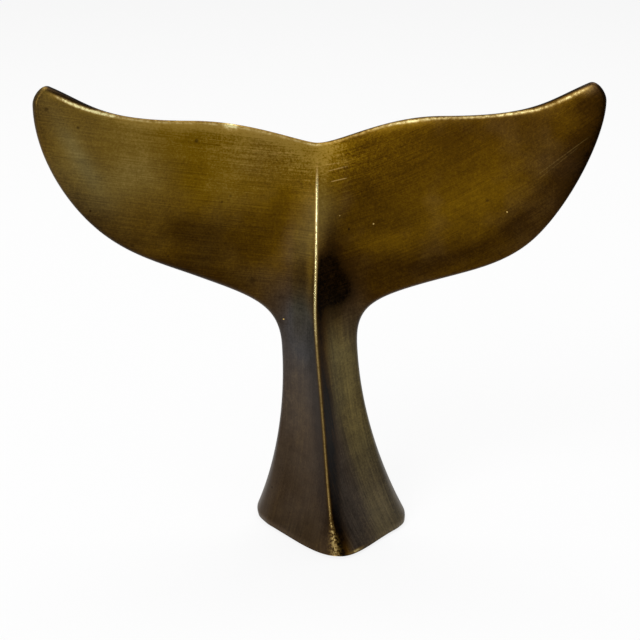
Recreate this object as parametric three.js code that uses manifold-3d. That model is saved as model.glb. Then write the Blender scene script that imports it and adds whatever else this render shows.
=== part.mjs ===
// Whale tail sculpture: a hollow bronze casting that stands on its flared foot, the plaster
// fill that weights the hollow, and the felt pad glued under the foot.
// Millimetres, +Z up, +X to the right, -Y to the front. The origin is on the surface that the
// sculpture stands on, under the middle of the foot.
import * as THREE from "three";
import { mergeVertices } from "three/addons/utils/BufferGeometryUtils.js";
import Module from "manifold-3d";

// Flukes, seen from the front
const span = 165.7; // from tip to tip
const tipHeight = 138.5; // top of the tips
const tipDrop = 4.7; // from a tip's top down to where it is widest
const tipSet = 4.7; // from a tip's widest point in to its top
const shoulderHeight = 126.9; // trailing edge, where it turns down to the notch
const shoulderOut = 37.1; // from the centre line
const notchHeight = 119.2; // bottom of the notch between the flukes
const bellyHeight = 94.4; // leading edge, at its fullest
const bellyOut = 64.4; // from the centre line
const rootHeight = 79.5; // leading edge, where the neck's curve has run out
const rootOut = 36.3; // from the centre line

// Stock, seen from the front
const neckHeight = 57.2; // narrowest point
const neckWidth = 23.2;
const footWidth = 46.6;
const rimHeight = 1.9; // the foot's sides bulge between its underside and this far above it
const stockLean = 4.3; // the stock runs this far to the left between the foot and the flukes
const leanHeight = 72; // height at which the lean has run out
const leanPower = 1.2; // over 1, it leans most at the foot

// Where the hand-modelled sides differ. Each value is added on the right and taken off on the left.
const spanDiffers = 0.6;
const tipDiffers = 0.6;
const shoulderDiffers = 0.7;
const rootDiffers = -0.5;
const rootHeadingDiffers = -2.4;
const rootPullDiffers = 0.04;
const bellyOutDiffers = 0.8;
const bellyHeightDiffers = -0.2;
const bellyHeadingDiffers = 3.4;
const tipPullDiffers = -0.05;
const notchPullDiffers = 0.03;
const tipThicknessDiffers = -0.5;
const flankDiffers = 0.07; // the stock's right flanks are hollower
const footSkew = 2.2; // and its foot's right corner is further forward

// Where the foot and the ridges stray from the middle
const footForward = 1.6; // both side corners
const noseShift = 1.9; // the front ridge ends this far right at the foot
const noseShiftHeight = 8; // and the shift dies away over this height
const ridgeStray = 0.8; // the ridges pass the neck this far left of the stock's middle
const strayHeight = 68;
const strayReach = 22;

// Depths, seen from the side
const footDepth = 61.8; // from the front ridge to the back ridge
const ridgeHeight = 114; // height at which both ridges have faded into the flukes
const ridgeFade = 1.5; // over 1, the ridges sweep in quickly above the foot
const footHollow = 1.25; // at 1 the flanks beside the ridges are straight
const flukeHollow = 2.1; // and over 1 they are hollow
const flukeSweep = 11; // the tips' height leans back this far
const sweepStart = 45; // height at which the lean back starts
const tipCurl = 14; // the tips curl forward this far

// Metal thickness, measured from the mid surface to one face
const rootThickness = 3.3; // flukes beside the ridges
const tipThickness = 2.1;
const trailingThickness = 0.5; // trailing edge beside the notch
const trailingPower = 8; // over 1, the trailing edge stays thin until near the tips
const trailingTaper = 14; // the flukes thin towards the trailing edge over about this much
const stockEdge = 2.4; // where the neck's front and back faces meet at the sides
const footEdge = 6.4; // where the foot's front and back faces meet at the sides

// Rounding and wear. Each edge is rounded to a radius within a band beside the outline.
const footRound = 19.7; // at the foot's side corners
const rimRound = 15.8; // above them
const footBand = 4;
const neckRound = 3;
const neckBand = 4.6;
const leadingRound = 2.3;
const leadingBand = 4.2;
const tipRound = 1.7;
const tipBand = 1.9;
const trailingRound = 1;
const trailingBand = 2.2;
const ridgeRadius = 0.45; // of the ridges above the foot
const noseRadius = 11.4; // the ridges are blunt at the foot
const noseHeight = 4; // and sharpen over this height
const footWall = 4.5; // wall round the hollow
const hollowHeight = 48; // top of the hollow inside the stock
const ridgeWallShare = 1.2; // the wall is this much thicker under the ridges
const hollowPower = 1; // at 1 the hollow's section is a diamond, at 0.5 an ellipse
const hollowBelow = 1; // its cut starts this far under the foot

// Base
const padThickness = 0.8;
const padInset = 1.5; // the felt stops short of the foot's edge
const fillClearance = 0.5; // between the fill and the wall of the hollow

// Fineness of the surfaces
const stepsBetweenKnots = [2, 14, 10, 8, 8, 6, 12, 10];
const bandShares = [1, 0.68, 0.42, 0.22, 0.09, 0.02, 0]; // rows along the rounded edge
const ridgeRows = [0, 0.5, 1.3, 2.6]; // distances from the ridge of the rows beside it
const faceRows = 9; // rows from there to the rounded edge
const faceSpread = 1.5; // over 1, these rows are closer together near the ridge
const notchRow = 12; // the last row runs down from the notch by this much
const leadingTurn = 4; // a row to the leading edge turns square to it over this much
const shoulderTurn = 10;
const notchTurn = 3;
const leavingPull = 1 / 3; // how far a row keeps the direction in which it leaves the ridge
const hollowSideCount = 24;
const hollowLevelCount = 12;
const mergeDistance = 1e-3;
const halvingCount = 24; // when a place on a curve is looked for

const halfSpan = span / 2;
const neckHalf = neckWidth / 2;
const footHalf = footWidth / 2;
const footRidge = footDepth / 2;
const footHeight = padThickness; // underside of the casting

const mix = THREE.MathUtils.lerp;
const radians = THREE.MathUtils.degToRad;
const ease = (from, to, x) => THREE.MathUtils.smoothstep(x, from, to);

// A knot of the outline: its distance from the centre line and its height, the heading of the
// outline in degrees, and the pull of the curve before and after it, as a share of the straight
// way to the next knot. `ridge` is the height on the ridge that the knot's row starts from,
// `turn` how early that row turns square to the edge, `round` the radius of the edge, and `band`
// the width in which the edge is rounded.
function knot(out, height, heading, [before, after], row) {
  return { at: new THREE.Vector2(out, height), heading, before, after, ...row };
}

// The outline of one side, from the foot up the stock, out along the leading edge, round the
// tip and back along the trailing edge to the notch.
function outlineKnots(side) {
  const upRidge = (share) => mix(neckHeight, notchHeight - notchRow, share);
  const foot = { ridge: footHeight, turn: 0, round: footRound, band: footBand };
  const rim = { ridge: footHeight + rimHeight, turn: 0, round: rimRound, band: footBand };
  const neck = { ridge: neckHeight, turn: 0, round: neckRound, band: neckBand };
  const root = { ridge: upRidge(0.51), turn: leadingTurn, round: leadingRound, band: leadingBand };
  const belly = { ridge: upRidge(0.6), turn: leadingTurn, round: leadingRound, band: leadingBand };
  const tipSide = { ridge: upRidge(0.67), turn: 0, round: tipRound, band: tipBand };
  const tipTop = { ridge: upRidge(0.7), turn: 0, round: tipRound, band: tipBand };
  const trailing = { round: trailingRound, band: trailingBand };
  const shoulder = { ridge: upRidge(0.9), turn: shoulderTurn, ...trailing };
  const notch = { ridge: upRidge(1), turn: notchTurn, ...trailing };
  const widest = halfSpan + side * spanDiffers;
  const top = tipHeight + side * tipDiffers;
  const rootTop = rootHeight + side * rootDiffers;
  const shoulderTop = shoulderHeight + side * shoulderDiffers;
  const bellyAcross = bellyOut + side * bellyOutDiffers;
  const bellyTop = bellyHeight + side * bellyHeightDiffers;
  const rootHeading = 20.5 + side * rootHeadingDiffers;
  const rootPull = 0.58 + side * rootPullDiffers;
  const bellyHeading = 45 + side * bellyHeadingDiffers;
  const tipPull = 0.27 + side * tipPullDiffers;
  const notchPull = 0.15 + side * notchPullDiffers;
  return [
    knot(footHalf, footHeight, 78, [0, 0.33], foot),
    knot(footHalf, footHeight + rimHeight, 115.4, [0.33, 0.23], rim),
    knot(neckHalf, neckHeight, 90, [0.42, 0.4], neck),
    knot(rootOut, rootTop, rootHeading, [rootPull, 0.36], root),
    knot(bellyAcross, bellyTop, bellyHeading, [0.36, 0.32], belly),
    knot(widest, top - tipDrop, 90, [tipPull, 0.37], tipSide),
    knot(widest - tipSet, top, 206.2, [0.35, 0.3], tipTop),
    knot(shoulderOut, shoulderTop, 182, [0.62, 0.46], shoulder),
    knot(0, notchHeight, 180, [notchPull, 0], notch),
  ];
}

// The curve between two knots, as a cubic Bezier in the plane of the outline.
function curveBetween(a, b) {
  const towards = ({ heading }) =>
    new THREE.Vector2(Math.cos(radians(heading)), Math.sin(radians(heading)));
  const way = a.at.distanceTo(b.at);
  const leaving = a.at.clone().addScaledVector(towards(a), a.after * way);
  const arriving = b.at.clone().addScaledVector(towards(b), -b.before * way);
  return new THREE.CubicBezierCurve(a.at, leaving, arriving, b.at);
}

// The point of a curve up to which `passed` holds.
function pointWhere(curve, passed) {
  let low = 0;
  let high = 1;
  for (let i = 0; i < halvingCount; i++) {
    const middle = (low + high) / 2;
    if (passed(curve.getPoint(middle))) low = middle;
    else high = middle;
  }
  return curve.getPoint(low);
}

// Half the stock's width at a height up to the neck, and the trailing edge's height over a
// distance from the centre line.
const middleKnots = outlineKnots(0);
const rimCurve = curveBetween(middleKnots[0], middleKnots[1]);
const stockCurve = curveBetween(middleKnots[1], middleKnots[2]);
const outerTrailing = curveBetween(middleKnots[6], middleKnots[7]);
const innerTrailing = curveBetween(middleKnots[7], middleKnots[8]);
function stockHalfWidth(height) {
  const curve = height < footHeight + rimHeight ? rimCurve : stockCurve;
  return pointWhere(curve, ({ y }) => y < height).x;
}
function trailingHeight(out) {
  return pointWhere(out > shoulderOut ? outerTrailing : innerTrailing, ({ x }) => x > out).y;
}

// How far a ridge stands out of the metal beside it.
function ridgeRise(height) {
  const left = Math.max(0, 1 - (height - footHeight) / (ridgeHeight - footHeight));
  return (footRidge - footEdge) * left ** ridgeFade;
}

// The metal's own thickness: the stock's, and the flukes' that thins towards the trailing edge.
function metalThickness(out, side, height) {
  const tip = tipThickness + side * tipThicknessDiffers;
  const stock = mix(footEdge, stockEdge, ease(footHeight, neckHeight * 0.6, height));
  const fluke = mix(rootThickness, tip, out / halfSpan);
  const whole = mix(stock, fluke, ease(neckHeight * 0.75, rootHeight, height));
  if (height < neckHeight) return whole;
  const thin = mix(trailingThickness, tip, (out / halfSpan) ** trailingPower);
  return mix(whole, thin, Math.exp(-Math.max(0, trailingHeight(out) - height) / trailingTaper));
}

// Sideways place of the stock's centre line at a height.
function centreLine(height) {
  const left = 1 - Math.min(1, (height - footHeight) / (leanHeight - footHeight));
  return -stockLean * (1 - left ** leanPower);
}

// Front-to-back place of the mid surface, which the front and back faces lie on either side of.
function midSurface(out, side, height) {
  const up = Math.max(0, (height - sweepStart) / (tipHeight - sweepStart));
  const twist = Math.max(0, 1 - (height - footHeight) / neckHeight) ** 2;
  const forward = (footForward + side * footSkew) * (out / footHalf) * twist;
  return flukeSweep * up ** 2 - tipCurl * (out / halfSpan) ** 2 - forward;
}

// The share of a ridge that is left beside it: 1 on the ridge, 0 at the stock's side.
function flankShare(out, side, height, nose) {
  const reach = height < neckHeight ? stockHalfWidth(height) : neckHalf;
  const blunt = (x) => Math.hypot(x, nose) - nose;
  const foot = footHollow + side * flankDiffers;
  const power = mix(foot, flukeHollow, ease(footHeight, rootHeight, height));
  return Math.max(0, 1 - blunt(out) / blunt(reach)) ** power;
}

// Half the thickness at a place: the metal, the ridge's flank, and the rounded edge.
function halfThickness(out, side, height, inward, edge, nose) {
  const flank = ridgeRise(height) * flankShare(out, side, height, nose);
  const metal = metalThickness(out, side, height) + flank;
  if (inward >= edge.band) return metal;
  const rounded = Math.sqrt(2 * edge.round * inward) / (1 - (inward / edge.band) ** 2);
  return rounded === 0 ? 0 : (metal ** -3 + rounded ** -3) ** (-1 / 3);
}

// The places of one row, which leaves the ridge in one direction, turns to meet the edge's band
// square and crosses it straight, each with its distance inward from the outline, or the band's
// width further in.
function places(ridge, leaving, edgePoint, inwards, { band, turn }) {
  const bandStart = edgePoint.clone().addScaledVector(inwards, band);
  const length = ridge.distanceTo(bandStart);
  const path = new THREE.CubicBezierCurve(
    ridge,
    ridge.clone().addScaledVector(leaving, length * leavingPull),
    bandStart.clone().addScaledVector(inwards, turn),
    bandStart,
  );
  const shares = ridgeRows.map((distance) => distance / length);
  const first = shares.at(-1);
  for (let i = 1; i < faceRows; i++) shares.push(mix(first, 1, (i / faceRows) ** faceSpread));
  const onFace = shares.map((share) => ({
    point: path.getPoint(share),
    inward: band,
  }));
  const onBand = bandShares.map((share) => ({
    point: edgePoint.clone().addScaledVector(inwards, share * band),
    inward: share * band,
  }));
  return [...onFace, ...onBand];
}

// One row of points from the ridge to the outline, on the front (-1) or the back (1). Rows of
// the stock are level, and the last rows turn until they run straight down from the notch.
function row(curve, a, b, t, side, face) {
  const edge = {};
  for (const key of ["ridge", "turn", "round", "band"]) edge[key] = mix(a[key], b[key], t);
  const tangent = curve.getTangent(t);
  const turning = (Math.atan2(tangent.y, tangent.x) + 2 * Math.PI) % (2 * Math.PI);
  const last = b.at.x === 0;
  const heading = last ? mix(turning, Math.PI, t) : turning;
  const rising = last ? t ** 2 * (Math.PI / 2) : 0;
  const leaving = new THREE.Vector2(Math.cos(rising), Math.sin(rising));
  const level = b.at.y <= neckHeight;
  const inwards = level
    ? new THREE.Vector2(-1, 0)
    : new THREE.Vector2(-Math.sin(heading), Math.cos(heading));
  const ridge = new THREE.Vector2(0, edge.ridge);
  const nose = ridgeRadius + noseRadius * Math.exp((footHeight - edge.ridge) / noseHeight);
  const found = places(ridge, leaving, curve.getPoint(t), inwards, edge);
  return found.map(({ point: { x: out, y: height }, inward }) => {
    const reach = height < neckHeight ? stockHalfWidth(height) : neckHalf;
    const nearRidge = Math.max(0, 1 - out / reach);
    const stray = -ridgeStray * Math.exp(-(((height - strayHeight) / strayReach) ** 2));
    const shift = face < 0 ? noseShift * Math.exp((footHeight - height) / noseShiftHeight) : 0;
    return new THREE.Vector3(
      side * out + centreLine(height) + (stray + shift) * nearRidge,
      midSurface(out, side, height) + face * halfThickness(out, side, height, inward, edge, nose),
      height,
    );
  });
}

// All rows of one side and face, from the foot to the notch.
function rows(side, face) {
  const knots = outlineKnots(side);
  const found = [];
  stepsBetweenKnots.forEach((steps, i) => {
    const curve = curveBetween(knots[i], knots[i + 1]);
    const start = i === 0 ? 0 : 1;
    for (let step = start; step <= steps; step++)
      found.push(row(curve, knots[i], knots[i + 1], step / steps, side, face));
  });
  return found;
}

// The two triangles of a quad, turned round if asked.
function addQuad(corners, a, b, c, d, turned = false) {
  if (turned) corners.push(a, c, b, a, d, c);
  else corners.push(a, b, c, a, c, d);
}

// Joins triangles into one geometry with shared corners, without those that have no area.
function closedGeometry(corners) {
  const geometry = mergeVertices(new THREE.BufferGeometry().setFromPoints(corners), mergeDistance);
  const kept = [];
  for (let i = 0; i < geometry.index.count; i += 3) {
    const [a, b, c] = geometry.index.array.slice(i, i + 3);
    if (a !== b && b !== c && c !== a) kept.push(a, b, c);
  }
  geometry.setIndex(kept);
  geometry.computeVertexNormals();
  return geometry;
}

// The whole outer surface: two sides, each with a front and a back, and the flat foot.
function tailSurface() {
  const corners = [];
  for (const side of [-1, 1]) {
    const faces = { [-1]: rows(side, -1), [1]: rows(side, 1) };
    for (const face of [-1, 1]) {
      const grid = faces[face];
      for (let i = 0; i + 1 < grid.length; i++)
        for (let j = 0; j + 1 < grid[i].length; j++) {
          const [near, far] = [grid[i], grid[i + 1]];
          addQuad(corners, near[j], near[j + 1], far[j + 1], far[j], side * face > 0);
        }
    }
    const [front, back] = [faces[-1][0], faces[1][0]];
    for (let j = 0; j + 1 < front.length; j++)
      addQuad(corners, front[j], front[j + 1], back[j + 1], back[j], side > 0);
  }
  return closedGeometry(corners);
}

// A closed body inside the stock, smaller than it by the inset: the hollow, or what fills it.
function stockLoft(inset, bottom, top) {
  const rings = [];
  for (let i = 0; i <= hollowLevelCount; i++) {
    const height = mix(bottom, top, i / hollowLevelCount);
    const closing = Math.sqrt(1 - (i / hollowLevelCount) ** 4);
    rings.push({
      height,
      half: (stockHalfWidth(height) - inset) * closing,
      depth: (metalThickness(0, 0, height) + ridgeRise(height) - inset * ridgeWallShare) * closing,
    });
  }
  const corner = ({ height, half, depth }, k) => {
    const angle = (k / hollowSideCount) * 2 * Math.PI;
    const bent = (x) => Math.sign(x) * Math.abs(x) ** (2 * hollowPower);
    const x = half * bent(Math.cos(angle));
    const y = depth * bent(Math.sin(angle)) + midSurface(Math.abs(x), Math.sign(x), height);
    return new THREE.Vector3(x + centreLine(height), y, height);
  };
  const corners = [];
  for (let k = 0; k < hollowSideCount; k++) {
    const [floor, roof] = [rings[0], rings.at(-1)];
    for (let i = 0; i < hollowLevelCount; i++) {
      const [low, high] = [rings[i], rings[i + 1]];
      addQuad(corners, corner(low, k), corner(low, k + 1), corner(high, k + 1), corner(high, k));
    }
    const middle = new THREE.Vector3(centreLine(bottom), 0, bottom);
    corners.push(corner(floor, k + 1), corner(floor, k), middle);
  }
  return closedGeometry(corners);
}

const wasm = await Module();
wasm.setup();

function solidOf(geometry) {
  const bare = geometry.clone();
  bare.deleteAttribute("normal");
  bare.deleteAttribute("uv");
  const merged = mergeVertices(bare, mergeDistance);
  const vertProperties = merged.getAttribute("position").array;
  const triVerts = new Uint32Array(merged.index.array);
  return new wasm.Manifold(new wasm.Mesh({ numProp: 3, vertProperties, triVerts }));
}

function geometryOf(solid) {
  const { vertProperties, triVerts } = solid.getMesh();
  const geometry = new THREE.BufferGeometry()
    .setAttribute("position", new THREE.BufferAttribute(new Float32Array(vertProperties), 3))
    .setIndex(new THREE.BufferAttribute(new Uint32Array(triVerts), 1));
  geometry.computeVertexNormals();
  return geometry;
}

const bronze = new THREE.MeshStandardMaterial({ color: 0x6d5420, roughness: 0.38, metalness: 1 });
const plaster = new THREE.MeshStandardMaterial({ color: 0xd9d4c7, roughness: 0.9, metalness: 0 });
const felt = new THREE.MeshStandardMaterial({ color: 0x2a2119, roughness: 1, metalness: 0 });

// The casting, open at the foot.
function tailCasting() {
  const hollow = stockLoft(footWall, footHeight - hollowBelow, hollowHeight);
  const mesh = new THREE.Mesh(geometryOf(solidOf(tailSurface()).subtract(solidOf(hollow))), bronze);
  mesh.name = "tail_casting";
  return mesh;
}

// The fill stands on the felt and keeps clear of the casting.
function ballastFill() {
  const body = stockLoft(footWall + fillClearance, footHeight, hollowHeight - 2 * fillClearance);
  const mesh = new THREE.Mesh(body, plaster);
  mesh.name = "ballast_fill";
  return mesh;
}

// The felt has the foot's own outline, drawn in by the inset.
function feltPad() {
  const [rightFront, rightBack] = [rows(1, -1)[0], rows(1, 1)[0]];
  const [leftFront, leftBack] = [rows(-1, -1)[0], rows(-1, 1)[0]];
  const loop = [
    ...rightFront,
    ...rightBack.slice(0, -1).reverse(),
    ...leftBack.slice(1),
    ...leftFront.slice(1, -1).reverse(),
  ];
  const scaleX = 1 - padInset / footHalf;
  const scaleY = 1 - padInset / footRidge;
  const outline = new THREE.Shape(loop.map(({ x, y }) => new THREE.Vector2(x * scaleX, y * scaleY)));
  const slab = new THREE.ExtrudeGeometry(outline, { depth: padThickness, bevelEnabled: false });
  const mesh = new THREE.Mesh(slab, felt);
  mesh.name = "felt_pad";
  return mesh;
}

const whaleTail = new THREE.Group();
whaleTail.add(tailCasting(), ballastFill(), feltPad());

export default whaleTail;
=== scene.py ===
"""Looks of the whale tail sculpture: a finely meshed bronze casting with its brushed, worn and
patinated surface, the plaster fill, the felt, the floor, the lights and the camera.

The casting's surface repeats the formulas of the part's source in millimetres and is turned to
metres when its mesh is made.
"""

import math

import bpy
import numpy as np
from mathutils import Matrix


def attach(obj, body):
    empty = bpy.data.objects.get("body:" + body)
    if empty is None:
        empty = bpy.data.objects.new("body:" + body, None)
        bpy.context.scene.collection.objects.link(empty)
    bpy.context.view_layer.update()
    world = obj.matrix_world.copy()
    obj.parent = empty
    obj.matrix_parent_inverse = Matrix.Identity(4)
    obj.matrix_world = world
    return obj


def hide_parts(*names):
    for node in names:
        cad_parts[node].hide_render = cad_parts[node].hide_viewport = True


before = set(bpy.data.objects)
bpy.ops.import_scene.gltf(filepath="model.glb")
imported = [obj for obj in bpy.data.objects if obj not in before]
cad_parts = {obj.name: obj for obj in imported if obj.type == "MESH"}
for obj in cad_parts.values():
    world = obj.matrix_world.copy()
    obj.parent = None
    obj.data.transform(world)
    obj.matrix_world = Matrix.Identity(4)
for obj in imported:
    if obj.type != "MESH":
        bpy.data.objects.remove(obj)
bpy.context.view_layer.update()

scene = bpy.context.scene
MM = 0.001

# Flukes, seen from the front, in millimetres as all sizes down to the materials
SPAN = 165.7  # from tip to tip
TIP_HEIGHT = 138.5  # top of the tips
TIP_DROP = 4.7  # from a tip's top down to where it is widest
TIP_SET = 4.7  # from a tip's widest point in to its top
SHOULDER_HEIGHT = 126.9  # trailing edge, where it turns down to the notch
SHOULDER_OUT = 37.1  # from the centre line
NOTCH_HEIGHT = 119.2  # bottom of the notch between the flukes
BELLY_HEIGHT = 94.4  # leading edge, at its fullest
BELLY_OUT = 64.4  # from the centre line
ROOT_HEIGHT = 79.5  # leading edge, where the neck's curve has run out
ROOT_OUT = 36.3  # from the centre line

# Stock, seen from the front
NECK_HEIGHT = 57.2  # narrowest point
NECK_WIDTH = 23.2
FOOT_WIDTH = 46.6
RIM_HEIGHT = 1.9  # the foot's sides bulge between its underside and this far above it
STOCK_LEAN = 4.3  # the stock runs this far to the left between the foot and the flukes
LEAN_HEIGHT = 72  # height at which the lean has run out
LEAN_POWER = 1.2  # over 1, it leans most at the foot

# Where the hand-modelled sides differ. Each value is added on the right and taken off on the left.
SPAN_DIFFERS = 0.6
TIP_DIFFERS = 0.6
SHOULDER_DIFFERS = 0.7
ROOT_DIFFERS = -0.5
ROOT_HEADING_DIFFERS = -2.4
ROOT_PULL_DIFFERS = 0.04
BELLY_OUT_DIFFERS = 0.8
BELLY_HEIGHT_DIFFERS = -0.2
BELLY_HEADING_DIFFERS = 3.4
TIP_PULL_DIFFERS = -0.05
NOTCH_PULL_DIFFERS = 0.03
TIP_THICKNESS_DIFFERS = -0.5
FLANK_DIFFERS = 0.07  # the stock's right flanks are hollower
FOOT_SKEW = 2.2  # and its foot's right corner is further forward

# Where the foot and the ridges stray from the middle
FOOT_FORWARD = 1.6  # both side corners
NOSE_SHIFT = 1.9  # the front ridge ends this far right at the foot
NOSE_SHIFT_HEIGHT = 8  # and the shift dies away over this height
RIDGE_STRAY = 0.8  # the ridges pass the neck this far left of the stock's middle
STRAY_HEIGHT = 68
STRAY_REACH = 22

# Depths, seen from the side
FOOT_DEPTH = 61.8  # from the front ridge to the back ridge
RIDGE_HEIGHT = 114  # height at which both ridges have faded into the flukes
RIDGE_FADE = 1.5  # over 1, the ridges sweep in quickly above the foot
FOOT_HOLLOW = 1.25  # at 1 the flanks beside the ridges are straight
FLUKE_HOLLOW = 2.1  # and over 1 they are hollow
FLUKE_SWEEP = 11  # the tips' height leans back this far
SWEEP_START = 45  # height at which the lean back starts
TIP_CURL = 14  # the tips curl forward this far

# Metal thickness, measured from the mid surface to one face
ROOT_THICKNESS = 3.3  # flukes beside the ridges
TIP_THICKNESS = 2.1
TRAILING_THICKNESS = 0.5  # trailing edge beside the notch
TRAILING_POWER = 8  # over 1, the trailing edge stays thin until near the tips
TRAILING_TAPER = 14  # the flukes thin towards the trailing edge over about this much
STOCK_EDGE = 2.4  # where the neck's front and back faces meet at the sides
FOOT_EDGE = 6.4  # and the same at the foot
STOCK_EDGE_SHARE = 0.6  # share of the neck's height at which the stock's edge is reached
FLUKE_SHARE = 0.75  # and the share from which the flukes' thickness takes over

# Rounding and wear. Each edge is rounded to a radius within a band beside the outline.
FOOT_ROUND = 19.7  # at the foot's side corners
RIM_ROUND = 15.8  # above them
FOOT_BAND = 4
NECK_ROUND = 3
NECK_BAND = 4.6
LEADING_ROUND = 2.3
LEADING_BAND = 4.2
TIP_ROUND = 1.7
TIP_BAND = 1.9
TRAILING_ROUND = 1
TRAILING_BAND = 2.2
EDGE_POWER = 3  # how tightly a rounded edge runs into its face
TRAILING_EDGE_POWER = 4
RIDGE_RADIUS = 0.45  # of the ridges above the foot
NOSE_RADIUS = 11.4  # the ridges are blunt at the foot
NOSE_HEIGHT = 4  # and sharpen over this height

# Hollow in the stock
FOOT_WALL = 4.5  # wall round the hollow
HOLLOW_HEIGHT = 48  # its closed top
RIDGE_WALL_SHARE = 1.2  # the wall is this much thicker under the ridges
HOLLOW_POWER = 1  # at 1 the hollow's section is a diamond, at 0.5 an ellipse
CLOSING_POWER = 4  # over 2, the top is flatter than a ball's
HOLLOW_OUT = 20  # it is patinated as if it lay this far out from the ridges
PAD_THICKNESS = 0.8  # of the felt under the foot

# Outline's headings in degrees, anticlockwise from straight out
FOOT_HEADING = 78
RIM_HEADING = 115.4
ROOT_HEADING = 20.5
BELLY_HEADING = 45
TIP_TOP_HEADING = 206.2
SHOULDER_HEADING = 182

# Rows of the surface, from the ridge to the outline
NOTCH_ROW = 12  # the last row runs down from the notch by this much
LEADING_TURN = 4  # a row to the leading edge turns square to it over this much
SHOULDER_TURN = 10
NOTCH_TURN = 3
LEAVING_PULL = 1 / 3  # how far a row keeps the direction in which it leaves the ridge

# Fineness of the mesh
STEPS_BETWEEN_KNOTS = [8, 58, 36, 36, 50, 16, 52, 46]
RIDGE_ROWS = np.array([0, 0.12, 0.25, 0.4, 0.6, 0.85, 1.15, 1.5, 1.95, 2.6])  # from the ridge
FACE_ROWS = 56  # from there to the rounded edge
FACE_SPREAD = 1.1  # over 1, these rows are closer together near the ridge
BAND_SHARES = np.linspace(1, 0, 13) ** 2  # rows along the rounded edge
HOLLOW_LEVELS = 16
TABLE_STEPS = np.linspace(0, 1, 2001)  # places along a curve at which it is tabled
JOIN_STEPS = 1e4  # steps in a millimetre when points are compared
TINY = 1e-9

HALF_SPAN = SPAN / 2
NECK_HALF = NECK_WIDTH / 2
FOOT_HALF = FOOT_WIDTH / 2
FOOT_RIDGE = FOOT_DEPTH / 2
FOOT_HEIGHT = PAD_THICKNESS  # underside of the casting


def mix(a, b, t):
    return a + (b - a) * t


def ease(low, high, x):
    """Rises smoothly from 0 at the first value to 1 at the second, which may be the lower."""
    t = np.clip((x - low) / (high - low), 0, 1)
    return t * t * (3 - 2 * t)


def bump(x, middle, reach):
    """1 at the middle, falling off on both sides."""
    return np.exp(-(((x - middle) / reach) ** 2))


def knot(out, height, heading, pulls, row):
    """One knot of the outline, with the curve's pull before and after it as a share of the
    straight way to the next knot. Its row is given by the height on the ridge that it starts
    from, how early it turns square to the edge, and the edge's radius, band and power."""
    return {
        "at": np.array([out, height], float),
        "heading": math.radians(heading),
        "before": pulls[0],
        "after": pulls[1],
        "row": np.array(row, float),
    }


def outline_knots(side):
    """The outline of one side, from the foot up the stock, out along the leading edge, round the
    tip and back along the trailing edge to the notch."""

    def up_ridge(share):
        return mix(NECK_HEIGHT, NOTCH_HEIGHT - NOTCH_ROW, share)

    rim = FOOT_HEIGHT + RIM_HEIGHT
    leading = (LEADING_TURN, LEADING_ROUND, LEADING_BAND, EDGE_POWER)
    trailing = (TRAILING_ROUND, TRAILING_BAND, TRAILING_EDGE_POWER)
    foot_row = (FOOT_HEIGHT, 0, FOOT_ROUND, FOOT_BAND, EDGE_POWER)
    rim_row = (rim, 0, RIM_ROUND, FOOT_BAND, EDGE_POWER)
    neck_row = (NECK_HEIGHT, 0, NECK_ROUND, NECK_BAND, EDGE_POWER)
    root_row = (up_ridge(0.51), *leading)
    belly_row = (up_ridge(0.6), *leading)
    tip_side_row = (up_ridge(0.67), 0, TIP_ROUND, TIP_BAND, EDGE_POWER)
    tip_top_row = (up_ridge(0.7), 0, TIP_ROUND, TIP_BAND, TRAILING_EDGE_POWER)
    shoulder_row = (up_ridge(0.9), SHOULDER_TURN, *trailing)
    notch_row = (up_ridge(1), NOTCH_TURN, *trailing)
    widest = HALF_SPAN + side * SPAN_DIFFERS
    top = TIP_HEIGHT + side * TIP_DIFFERS
    root_top = ROOT_HEIGHT + side * ROOT_DIFFERS
    shoulder_top = SHOULDER_HEIGHT + side * SHOULDER_DIFFERS
    belly_across = BELLY_OUT + side * BELLY_OUT_DIFFERS
    belly_top = BELLY_HEIGHT + side * BELLY_HEIGHT_DIFFERS
    root_heading = ROOT_HEADING + side * ROOT_HEADING_DIFFERS
    belly_heading = BELLY_HEADING + side * BELLY_HEADING_DIFFERS
    root_pull = 0.58 + side * ROOT_PULL_DIFFERS
    tip_pull = 0.27 + side * TIP_PULL_DIFFERS
    notch_pull = 0.15 + side * NOTCH_PULL_DIFFERS
    return [
        knot(FOOT_HALF, FOOT_HEIGHT, FOOT_HEADING, (0, 0.33), foot_row),
        knot(FOOT_HALF, rim, RIM_HEADING, (0.33, 0.23), rim_row),
        knot(NECK_HALF, NECK_HEIGHT, 90, (0.42, 0.4), neck_row),
        knot(ROOT_OUT, root_top, root_heading, (root_pull, 0.36), root_row),
        knot(belly_across, belly_top, belly_heading, (0.36, 0.32), belly_row),
        knot(widest, top - TIP_DROP, 90, (tip_pull, 0.37), tip_side_row),
        knot(widest - TIP_SET, top, TIP_TOP_HEADING, (0.35, 0.3), tip_top_row),
        knot(SHOULDER_OUT, shoulder_top, SHOULDER_HEADING, (0.62, 0.46), shoulder_row),
        knot(0, NOTCH_HEIGHT, 180, (notch_pull, 0), notch_row),
    ]


def heading_vector(angle):
    return np.array([math.cos(angle), math.sin(angle)])


def curve_between(a, b):
    """The four points of the cubic curve between two knots."""
    way = np.linalg.norm(b["at"] - a["at"])
    leaving = a["at"] + heading_vector(a["heading"]) * a["after"] * way
    arriving = b["at"] - heading_vector(b["heading"]) * b["before"] * way
    return np.array([a["at"], leaving, arriving, b["at"]])


def bezier(points, t):
    t = np.asarray(t, float)[..., None]
    return (
        points[0] * (1 - t) ** 3
        + points[1] * 3 * t * (1 - t) ** 2
        + points[2] * 3 * t**2 * (1 - t)
        + points[3] * t**3
    )


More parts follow.
